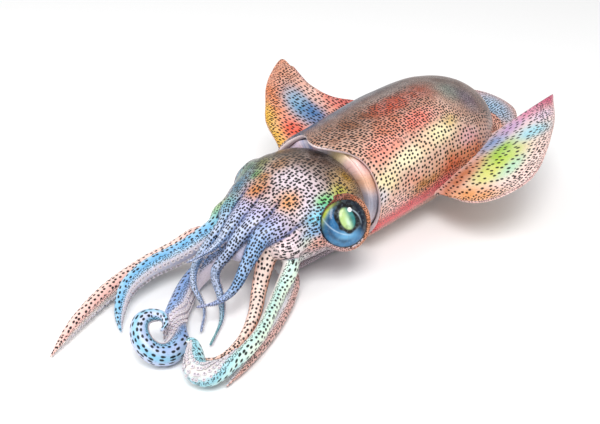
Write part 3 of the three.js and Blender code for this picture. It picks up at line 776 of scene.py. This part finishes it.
def eye_piece(name):
    eye = eyes[name]
    sides, rows = 200, 84
    polar = np.linspace(0.012, 0.62 * math.pi, rows)
    spin = round_steps(sides)
    radius = eye.radius * np.sin(polar)[:, None] * np.ones(sides)
    ahead, lift = radius * np.cos(spin), radius * np.sin(spin)
    out = eye.depth * np.cos(polar)[:, None] * np.ones(sides)
    pupil = np.hypot((ahead + 2.3) / 7.6, (lift - 3.2) / 9.6)
    out = out - 0.5 * bump(pupil, 1.12, 0.16) + 0.35 * (1 - ease(pupil, 0.5, 0.95))
    front = eye.place(0.0, 0.0, eye.depth + 0.35)
    points = np.concatenate([eye.place(ahead, lift, out).reshape(-1, 3), front[None]])
    faces = grid_faces(rows, sides) + [(rows * sides, s, (s + 1) % sides) for s in range(sides)]
    ahead, lift = ahead.ravel(), lift.ravel()
    colour = eye_colours(ahead, lift, pupil.ravel())
    colour = np.concatenate([colour, colour[:1]])
    flow = np.stack([np.append(ahead, 0), np.append(lift, 0), np.zeros(len(points))], 1)
    make_piece(name + "_ball", points, faces, (colour, flow), WET_EYE, [name])


def eyelid_piece(name):
    eye = eyes[name]
    around, sides = 120, 14
    spin, tube = round_steps(around), round_steps(sides)
    radius = eye.opening + 0.5 + 0.35 * np.sin(3 * spin + 0.7)
    thick = 0.95 + 0.45 * bump(np.sin(spin), 1, 0.9)
    ring = radius[:, None] + thick[:, None] * np.cos(tube) * 1.5
    ahead = ring * np.cos(spin)[:, None] + eye.opening_at[0]
    lift = ring * np.sin(spin)[:, None] + eye.opening_at[1]
    from_middle = np.hypot(radius * np.cos(spin) + eye.opening_at[0],
                           radius * np.sin(spin) + eye.opening_at[1])
    height = eye.depth * np.sqrt(np.clip(1 - ((from_middle - 0.5) / eye.radius) ** 2, 0, 1)) - 0.3
    out = height[:, None] + thick[:, None] * np.sin(tube) * 0.95 - 0.12 * (ring - eye.opening) + 0.35
    points = eye.place(ahead, lift, out).reshape(-1, 3)
    turn = np.repeat(spin, sides)
    colour = plain("#c98a66", len(points))
    lay(colour, "#8f4a30", ease(np.sin(turn + 0.4), -0.2, 0.9))
    lay(colour, "#c9b4bc", 0.7 * bump(np.cos(turn + 0.5), 1, 0.6))
    flow = np.stack([turn * 16, np.tile(tube, around) * 1.5, 0 * turn], 1)
    faces = [tuple(i % (around * sides) for i in face) for face in grid_faces(around + 1, sides)]
    marks = colour, flow, np.full(len(points), 0.3)
    make_piece(name.replace("eye", "eyelid"), points, faces, marks, SPOTTED_SKIN)


# ---- fins ----------------------------------------------------------------
# for each fin its ground colour, its patches, and its rim's colour and strength; a patch lies so many
# millimetres out from the middle line and so many behind the mantle's rim
FIN_PATCHES = {
    "fin_left": ("#f3d9d2", [
        (70, 92, 13, 25, "#bcd85e", 0.97), (62, 106, 8, 15, "#a4cf50", 0.9),
        (72, 78, 8, 11, "#dfe290", 0.9), (83, 86, 6, 14, "#b0dfc4", 0.8),
        (50, 116, 8, 15, "#8fb0dc", 0.92), (51, 137, 8, 13, "#c9a6d2", 0.9),
        (72, 129, 11, 12, "#a4dae8", 0.95), (66, 150, 9, 9, "#dccbe0", 0.8),
        (58, 171, 15, 14, "#dc5c86", 0.95), (52, 155, 9, 11, "#e08cae", 0.9),
        (74, 54, 22, 10, "#e3a468", 0.9), (53, 72, 8, 24, "#cd8256", 0.9)],
        "#f4dcd8", 0.8),
    "fin_right": ("#ecb19c", [
        (92, 54, 14, 15, "#dfa68c", 0.9), (84, 28, 15, 14, "#f09a66", 0.9),
        (62, 4, 20, 11, "#edc24a", 0.97), (78, 14, 13, 8, "#edc24a", 0.95),
        (54, 24, 12, 9, "#e85c3c", 0.95), (70, 44, 15, 12, "#7fb4d2", 0.95),
        (60, 48, 10, 11, "#3f7cb2", 0.95), (72, 60, 14, 6, "#e8c4b8", 0.8),
        (62, 76, 14, 11, "#e2847c", 0.9), (54, 94, 12, 16, "#db5c56", 0.9),
        (20, 150, 26, 30, "#d98c86", 0.7), (-12, 174, 20, 15, "#a9c9e2", 0.95)],
        "#e2a07c", 0.4),
}
FIN_GRAINS = {"fin_left": 1.6, "fin_right": 0.95}
FIN_ROWS, FIN_COLUMNS = 170, 40


def fin_sheet(name):
    """The fin's middle surface as rows of points, and for each row 1 if its first point is the free edge."""
    _, rings, _ = node_rings(name, RIM + np.array([0, 0, 40]))
    count = rings.shape[1]
    sample = rings[len(rings) // 3]
    from_axis = np.hypot(sample[:, 1] - RIM[1], sample[:, 2] - MIDDLE_HEIGHT)
    first = min(range(count), key=lambda k: from_axis[k] + from_axis[(k + 1) % count])
    rings = np.roll(rings, -(first + 1), axis=1)
    middle = (rings[:, :count // 2] + rings[:, :count // 2 - 1:-1]) / 2
    near, far = (np.linalg.norm(middle[:, k] - BODY_MIDDLE, axis=1) for k in (0, -1))
    turned = (near > far).astype(float)
    deep = 3 + 7 * ease(middle[:, 0, 0] - RIM[0], 125, 145)  # how far the skin runs into the mantle
    before = middle[:, 0] + unit(middle[:, 0] - middle[:, 1]) * (0.2 + deep * (1 - turned))[:, None]
    after = middle[:, -1] + unit(middle[:, -1] - middle[:, -2]) * (0.2 + deep * turned)[:, None]
    return np.concatenate([before[:, None], middle, after[:, None]], axis=1), turned


def fin_marks(name, points, along, across, share, underside):
    """Colour, place on the skin and grain of a fin's points; share is 1 on the free edge."""
    outward = (points[:, 1] - RIM[1]) * {"fin_left": -1, "fin_right": 1}[name]
    reach = points[:, 0] - RIM[0]
    ground, patches, edge, strength = FIN_PATCHES[name]
    colour = washes(ground, patches, outward, reach)
    lay(colour, edge, strength * ease(share, 0.8, 0.97))
    lay(colour, "#b06a80", 0.6 * ease(share, 0.96, 0.99))
    lay(colour, "#ecd0c6", 0.6 * underside)
    if name == "fin_right":
        flow = np.stack([reach + 0.8 * points[:, 2], 1.2 * outward, 7 * underside], 1)
    else:
        flow = np.stack([along, across, 7 * underside], 1)
    grain = (FIN_GRAINS[name] - 0.25) * (1 - ease(share, 0.5, 0.92)) + 0.25
    return colour, flow, grain * (1 - 0.7 * underside) * (1 - 0.5 * ease(reach, 140, 165))


def over_and_under(above, below):
    """Values on a fin's upper side and then on its lower side, in the order of its points."""
    both = np.concatenate([above, below[:, ::-1]], axis=1)
    return both.reshape((-1,) + both.shape[2:])


def fin_piece(name):
    sheet, turned = fin_sheet(name)
    rows = np.linspace(0, len(sheet) - 1, FIN_ROWS)
    columns = np.linspace(0, sheet.shape[1] - 1, FIN_COLUMNS)
    grid = np.moveaxis(read_rows(np.moveaxis(read_rows(sheet, rows), 1, 0), columns), 0, 1)
    turned = np.interp(rows, np.arange(len(sheet)), turned)[:, None]
    spread = np.linspace(0, 1, FIN_COLUMNS) * (1 - 2 * turned) + turned
    along_steps = np.linalg.norm(np.diff(grid[:, FIN_COLUMNS // 2], axis=0), axis=1)
    along = np.concatenate([[0], np.cumsum(along_steps)])
    across = np.cumsum(np.linalg.norm(np.diff(grid, axis=1, prepend=grid[:, :1]), axis=2), axis=1)
    normal = unit(np.cross(np.gradient(grid, axis=0), np.gradient(grid, axis=1)))
    normal *= np.sign(normal[..., 2:3])
    wave = 0.9 * np.sin(along / 5.2 + 2.0 * np.sin(along / 23))[:, None] * spread ** 3
    wave += 0.5 * ripple(grid.reshape(-1, 3), 17, 3).reshape(FIN_ROWS, FIN_COLUMNS) * spread
    grid = grid + normal * wave[..., None]
    ends = np.sin(math.pi * np.linspace(0.015, 0.985, FIN_ROWS))[:, None] ** 0.35
    half = (3.4 * (1 - spread) ** 1.6 + 0.75) * ends * np.sqrt(np.clip((1 - spread) / 0.05, 0.04, 1))
    half += 2.2 * ends * bump(spread, 0.0, 0.07)
    thick = normal * half[..., None]
    points = over_and_under(grid + thick, grid - thick)
    along = np.repeat(along, 2 * FIN_COLUMNS)
    across, share = over_and_under(across, across), over_and_under(spread, spread)
    underside = over_and_under(np.zeros_like(spread), np.ones_like(spread))
    marks = fin_marks(name, points, along, across, share, underside)
    points[:, 2] = np.maximum(points[:, 2], 0)
    faces = tube_faces(FIN_ROWS, 2 * FIN_COLUMNS)
    make_piece(name + "_blade", points, faces, marks, SPOTTED_SKIN, [name])


# ---- neck and funnel -----------------------------------------------------
NECK_PATCHES = [
    (-25, 0, 16, 60, "#ecd6a4", 0.85), (-50, 0, 14, 60, "#ecc4bc", 0.85), (-68, 0, 12, 60, "#e0b08c", 0.85),
    (-90, 0, 14, 60, "#9fa0ae", 0.9), (-120, 0, 20, 60, "#c9c2c8", 0.8), (20, 0, 5, 60, "#d8a6c0", 0.6),
    (27, 0, 4, 60, "#8796c2", 0.85), (38, 0, 4, 60, "#9aa6cc", 0.7), (50, 0, 9, 60, "#d5bcd0", 0.7),
]


def tube_piece(name, piece_name, start, rows, sides, ground, patches, grain):
    """A lofted node's skin with small folds, read from its end nearest to start."""
    near, rings, far = node_rings(name, start)
    whole = np.concatenate([np.repeat(near[None, None], rings.shape[1], 1), rings,
                            np.repeat(far[None, None], rings.shape[1], 1)])
    grid = read_rows(read_round(whole, sides), np.linspace(0.12, len(whole) - 1.12, rows))
    points = grid.reshape(-1, 3)
    middle = np.repeat(grid.mean(1), sides, axis=0)
    folds = 0.25 * ripple(points, 5, 2) + 0.35 * ripple(points * np.array([1, 0.35, 0.35]), 2.6, 8)
    points = points + unit(points - middle) * (folds - 0.25)[:, None]
    points[:, 2] = np.maximum(points[:, 2], 0)
    away = points - middle
    angle = np.degrees(np.arctan2(away[:, 1], away[:, 2]))
    reach = points[:, 0] - RIM[0]
    colour = washes(ground, patches, angle, reach)
    flow = np.stack([np.radians(angle) * SKIN_RADIUS, reach, 0 * reach], 1)
    marks = colour, flow, np.full(len(points), grain)
    make_piece(piece_name, points, tube_faces(rows, sides), marks, SPOTTED_SKIN, [name])


# ---- suckers -------------------------------------------------------------
# limb, share of its length before its suckers begin, rows of suckers, and their radius in half widths
SUCKERS = [("arm_right_4", 0.10, 2, 0.20), ("arm_right_3", 0.12, 2, 0.20), ("arm_right_2", 0.25, 2, 0.24),
           ("arm_right_1", 0.25, 2, 0.24), ("arm_left_1", 0.25, 2, 0.24), ("arm_left_2", 0.25, 2, 0.24),
           ("arm_left_3", 0.14, 2, 0.20), ("arm_left_4", 0.14, 2, 0.20), ("tentacle_left", 0.66, 4, 0.15),
           ("tentacle_right", 0.36, 4, 0.15)]
# radius and height over the skin, from the cup's foot round its lip to its middle, for a cup of radius 1
CUP_PROFILE = [(0.5, -0.9), (0.62, 0.0), (1.0, 0.45), (1.0, 0.85), (0.78, 1.0), (0.55, 0.7), (0.0, 0.45)]
CUP_SIDES = 10
LEAST_CUP = 0.34
CUP_SPACING = {2: 1.25, 4: 2.3}  # along the limb, in cup radii, for two and for four rows
BARE_TIP = 2.5  # the end of a limb that has no suckers


def cups_abreast(files, step):
    """Each cup at one step along a limb: radians from the middle of the sucker side, and relative size."""
    if files == 2:
        return [(0.52 * (step % 2 * 2 - 1), 1.0)]
    return [(0.468 * (k - 1.5), 1.15 if k in (1, 2) else 1.0) for k in range(files)]


def cup_points(limb, row, theta, size):
    spin = round_steps(CUP_SIDES)
    spot = limb.surface(np.array([theta]), slice(row, row + 1))[0, 0]
    out = unit(spot - limb.middle[row])
    ahead = limb.ahead[row]
    circle = np.outer(np.cos(spin), ahead) + np.outer(np.sin(spin), np.cross(out, ahead))
    return np.concatenate([spot + size * (height * out + radius * circle) for radius, height in CUP_PROFILE])


def sucker_cups(name, kind):
    """All suckers of one kind of limb, as one piece."""
    cups = []
    for limb_name, begin, files, share in SUCKERS:
        if not limb_name.startswith(kind):
            continue
        limb = limbs[LIMBS.index(limb_name)]
        reach, step = begin * limb.length, 0
        while reach < limb.length - BARE_TIP:
            row = int(reach / LIMB_STEP)
            size = max(limb.half[row] * share, LEAST_CUP)
            for turn, bigger in cups_abreast(files, step):
                cups.append(cup_points(limb, row, math.pi + turn, size * bigger))
            step += 1
            reach += size * CUP_SPACING[files]
    points = np.concatenate(cups)
    points[:, 2] = np.maximum(points[:, 2], 0)
    cup_faces = grid_faces(len(CUP_PROFILE), CUP_SIDES)
    faces = [tuple(i + k * len(cups[0]) for i in face) for k in range(len(cups)) for face in cup_faces]
    heights = np.tile(np.repeat([height for _, height in CUP_PROFILE], CUP_SIDES), len(cups))
    colour = plain("#ebe4e8", len(points))
    # painted shade: grey laid in the middle of each cup's hollow and low on its outer wall
    lay(colour, "#8f8a96", bump(heights, 0.45, 0.3))
    marks = colour, points, np.zeros(len(points))
    make_piece(name, points, faces, marks, SPOTTED_SKIN, facing_out=False)


# ---- all pieces ----------------------------------------------------------
mantle_piece()
head_and_limbs()
for name in ("fin_left", "fin_right"):
    fin_piece(name)
tube_piece("neck", "neck_collar", RIM + np.array([20, 0, 40]), rows=70, sides=120, ground="#e6dce4",
           patches=NECK_PATCHES, grain=0.0)
tube_piece("funnel", "funnel_tube", RIM + np.array([-10, 0, 4]), rows=60, sides=64, ground="#cfc3cc",
           patches=[], grain=0.12)
sucker_cups("arm_suckers", "arm")
sucker_cups("tentacle_suckers", "tentacle")
for name in eyes:
    eye_piece(name)
    eyelid_piece(name)


# ---- setting, in metres --------------------------------------------------
TABLE_HALF = 3.0
TABLE_TOP = -0.0002  # just clear of the skin that rests on it
ROOM_LIGHT = 0.66
LAMPS = [("key", (-0.5, -0.5, 1.1), 0.6, 12), ("fill", (-0.9, 0.5, 0.8), 0.8, 5)]  # name, place, width, watts
AIM = Vector((RIM[0] * MM, RIM[1] * MM, 0.040))
CAMERA_TURN, CAMERA_RISE = math.radians(-47), math.radians(30)
CAMERA_DISTANCE, CAMERA_LENS = 0.641, 58
CAMERA_LEFT, CAMERA_DOWN = 0.0212, 0.0192  # from the line through the aim, to bring the whole animal in


def table_and_light():
    corners = [(x * TABLE_HALF, y * TABLE_HALF, TABLE_TOP) for x, y in ((-1, -1), (1, -1), (1, 1), (-1, 1))]
    top = bpy.data.meshes.new("table")
    top.from_pydata(corners, [], [(0, 1, 2, 3)])
    top.materials.append(Skin("pale_table").finish((0.93, 0.93, 0.93, 1), Roughness=0.9))
    table = bpy.data.objects.new("table", top)
    bpy.context.collection.objects.link(table)
    world = bpy.data.worlds.new("soft_room")
    world.use_nodes = True
    world.node_tree.nodes["Background"].inputs["Color"].default_value = (1, 1, 1, 1)
    world.node_tree.nodes["Background"].inputs["Strength"].default_value = ROOM_LIGHT
    bpy.context.scene.world = world
    for name, place, width, watts in LAMPS:
        lamp = bpy.data.lights.new(name, "AREA")
        lamp.size, lamp.energy = width, watts
        light = bpy.data.objects.new(name, lamp)
        light.location = place
        light.rotation_euler = (-Vector(place)).to_track_quat("-Z", "Y").to_euler()
        bpy.context.collection.objects.link(light)


def set_camera():
    level = math.cos(CAMERA_RISE)
    back = Vector((math.sin(CAMERA_TURN) * level, -math.cos(CAMERA_TURN) * level, math.sin(CAMERA_RISE)))
    rightward = Vector((math.cos(CAMERA_TURN), math.sin(CAMERA_TURN), 0))
    upward = back.cross(rightward)
    camera = bpy.data.objects.new("view", bpy.data.cameras.new("view"))
    camera.data.lens = CAMERA_LENS
    camera.location = AIM + back * CAMERA_DISTANCE - rightward * CAMERA_LEFT - upward * CAMERA_DOWN
    camera.rotation_euler = back.to_track_quat("Z", "Y").to_euler()
    bpy.context.collection.objects.link(camera)
    bpy.context.scene.camera = camera


table_and_light()
set_camera()
bpy.context.scene.view_settings.view_transform = "Standard"
